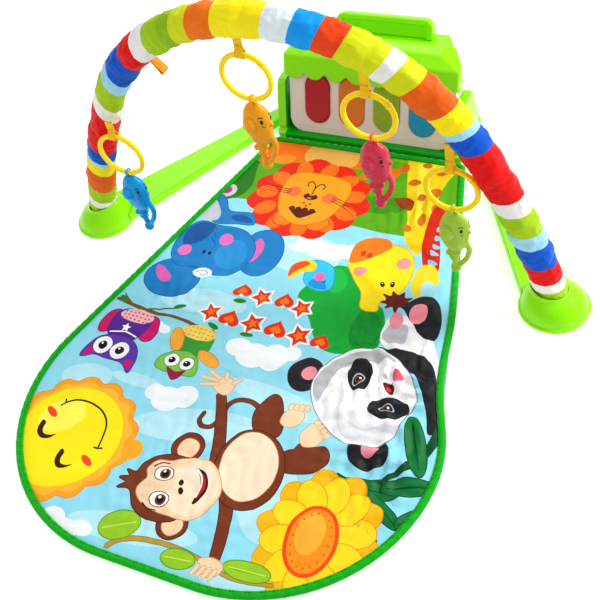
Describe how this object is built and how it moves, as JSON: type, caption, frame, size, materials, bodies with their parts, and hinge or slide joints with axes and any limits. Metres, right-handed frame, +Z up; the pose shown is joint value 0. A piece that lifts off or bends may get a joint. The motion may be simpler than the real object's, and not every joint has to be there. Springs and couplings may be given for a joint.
{
  "type": "activity play gym",
  "caption": "Padded tongue-shaped play mat with a striped padded arch of hanging ring toys and a tilted toy piano under a scalloped roof.",
  "frame": {"origin": "on the floor under the middle of the gym's outline", "axes": "+X across the gym, +Y from the round end of the mat to the piano, +Z up"},
  "size_m": [0.828, 0.932, 0.4434],
  "materials": {
    "print_fabric": "printed satin-weave polyester over thin wadding",
    "green_binding": "folded bias binding, stitched",
    "white_webbing": "woven tape",
    "lime_plastic": "moulded, smooth",
    "green_plastic": "moulded, fine grain",
    "grey_rubber": "matt",
    "zinc_steel": "zinc plated",
    "white_tube": "extruded, smooth",
    "striped_fabric": "brushed knit in sewn coloured bands",
    "yellow_webbing": "woven tape",
    "orange_webbing": "woven tape",
    "yellow_plastic": "moulded, polished",
    "blue_toy": "moulded, printed face",
    "gold_toy": "moulded, printed face",
    "pink_toy": "moulded, printed face",
    "lime_toy": "moulded, printed face",
    "rattle_beads": "smooth",
    "white_plastic": "moulded, satin",
    "red_plastic": "moulded, polished",
    "orange_plastic": "moulded, polished",
    "olive_plastic": "moulded, polished",
    "blue_plastic": "moulded, polished",
    "white_rubber": "silicone",
    "green_board": "solder mask",
    "black_plastic": "fine grain",
    "cell_metal": "plain sleeve",
    "contact_brass": "plated"
  },
  "bodies": {
    "gym": {"mat_pad": "print_fabric", "mat_binding": "green_binding", "mat_tabs": "white_webbing", "stand": "lime_plastic", "stand_plate": "green_plastic", "stand_screws": "zinc_steel", "stand_feet": "grey_rubber", "left_arm": "lime_plastic", "right_arm": "lime_plastic", "left_dome": "lime_plastic", "right_dome": "lime_plastic", "left_dome_pads": "grey_rubber", "right_dome_pads": "grey_rubber", "left_dome_screws": "zinc_steel", "right_dome_screws": "zinc_steel", "left_arch_tube": "white_tube", "right_arch_tube": "white_tube", "crown_arch_tube": "white_tube", "arch_sleeve": "striped_fabric", "ring_loop_1": "yellow_webbing", "ring_loop_2": "yellow_webbing", "ring_loop_3": "yellow_webbing", "ring_loop_4": "yellow_webbing", "spare_loop": "orange_webbing"},
    "piano": {"front_shell": "white_plastic", "back_shell": "white_plastic", "case_screws": "zinc_steel", "key_membrane": "white_rubber", "circuit_board": "green_board", "board_screws": "zinc_steel", "speaker": "black_plastic", "battery_tray": "white_plastic", "battery_door": "white_plastic", "door_screw": "zinc_steel", "battery_cells": "cell_metal", "battery_contacts": "contact_brass", "switch_body": "black_plastic", "awning_roof": "lime_plastic", "carry_handle": "lime_plastic"},
    "red_key": {"red_key": "red_plastic"},
    "orange_key": {"orange_key": "orange_plastic"},
    "green_key": {"green_key": "olive_plastic"},
    "blue_key": {"blue_key": "blue_plastic"},
    "switch": {"switch_knob": "black_plastic"},
    "ring_1": {"ring_1": "yellow_plastic"},
    "toy_1": {"toy_1_front": "blue_toy", "toy_1_back": "blue_toy", "toy_1_beads": "rattle_beads"},
    "ring_2": {"ring_2": "yellow_plastic"},
    "toy_2": {"toy_2_front": "gold_toy", "toy_2_back": "gold_toy", "toy_2_beads": "rattle_beads"},
    "ring_3": {"ring_3": "yellow_plastic"},
    "toy_3": {"toy_3_front": "pink_toy", "toy_3_back": "pink_toy", "toy_3_beads": "rattle_beads"},
    "ring_4": {"ring_4": "yellow_plastic"},
    "toy_4": {"toy_4_front": "lime_toy", "toy_4_back": "lime_toy", "toy_4_beads": "rattle_beads"}
  },
  "joints": [
    {"name": "piano_lift", "type": "slide", "parent": "gym", "child": "piano", "axis": [0, 0.342, 0.9397], "range_m": [0, 0.08]},
    {"name": "red_key_press", "type": "slide", "parent": "piano", "child": "red_key", "axis": [0, 0.9397, -0.342], "range_m": [0, 0.003], "stiffness_N_per_m": 400, "springref_m": -0.001},
    {"name": "orange_key_press", "type": "slide", "parent": "piano", "child": "orange_key", "axis": [0, 0.9397, -0.342], "range_m": [0, 0.003], "stiffness_N_per_m": 400, "springref_m": -0.001},
    {"name": "green_key_press", "type": "slide", "parent": "piano", "child": "green_key", "axis": [0, 0.9397, -0.342], "range_m": [0, 0.003], "stiffness_N_per_m": 400, "springref_m": -0.001},
    {"name": "blue_key_press", "type": "slide", "parent": "piano", "child": "blue_key", "axis": [0, 0.9397, -0.342], "range_m": [0, 0.003], "stiffness_N_per_m": 400, "springref_m": -0.001},
    {"name": "switch_slide", "type": "slide", "parent": "piano", "child": "switch", "axis": [0, 0.342, 0.9397], "range_m": [0, 0.006]},
    {"name": "ring_1_swing", "type": "hinge", "parent": "gym", "child": "ring_1", "pos_m": [-0.25996, 0.04, 0.21792], "axis": [1, 0, 0], "range_deg": [-60, 0]},
    {"name": "toy_1_swing", "type": "hinge", "parent": "ring_1", "child": "toy_1", "pos_m": [-0.25996, 0.04, 0.14892], "axis": [1, 0, 0], "range_deg": [-60, 60]},
    {"name": "ring_2_swing", "type": "hinge", "parent": "gym", "child": "ring_2", "pos_m": [-0.03188, 0.067, 0.36665], "axis": [1, 0, 0], "range_deg": [-60, 60]},
    {"name": "toy_2_swing", "type": "hinge", "parent": "ring_2", "child": "toy_2", "pos_m": [-0.03188, 0.067, 0.29765], "axis": [1, 0, 0], "range_deg": [-60, 60]},
    {"name": "ring_3_swing", "type": "hinge", "parent": "gym", "child": "ring_3", "pos_m": [0.1309, 0.067, 0.32889], "axis": [1, 0, 0], "range_deg": [-60, 60]},
    {"name": "toy_3_swing", "type": "hinge", "parent": "ring_3", "child": "toy_3", "pos_m": [0.1309, 0.067, 0.25989], "axis": [1, 0, 0], "range_deg": [-60, 60]},
    {"name": "ring_4_swing", "type": "hinge", "parent": "gym", "child": "ring_4", "pos_m": [0.23207, 0.067, 0.22627], "axis": [1, 0, 0], "range_deg": [-60, 60]},
    {"name": "toy_4_swing", "type": "hinge", "parent": "ring_4", "child": "toy_4", "pos_m": [0.23207, 0.067, 0.15727], "axis": [1, 0, 0], "range_deg": [-60, 60]}
  ]
}
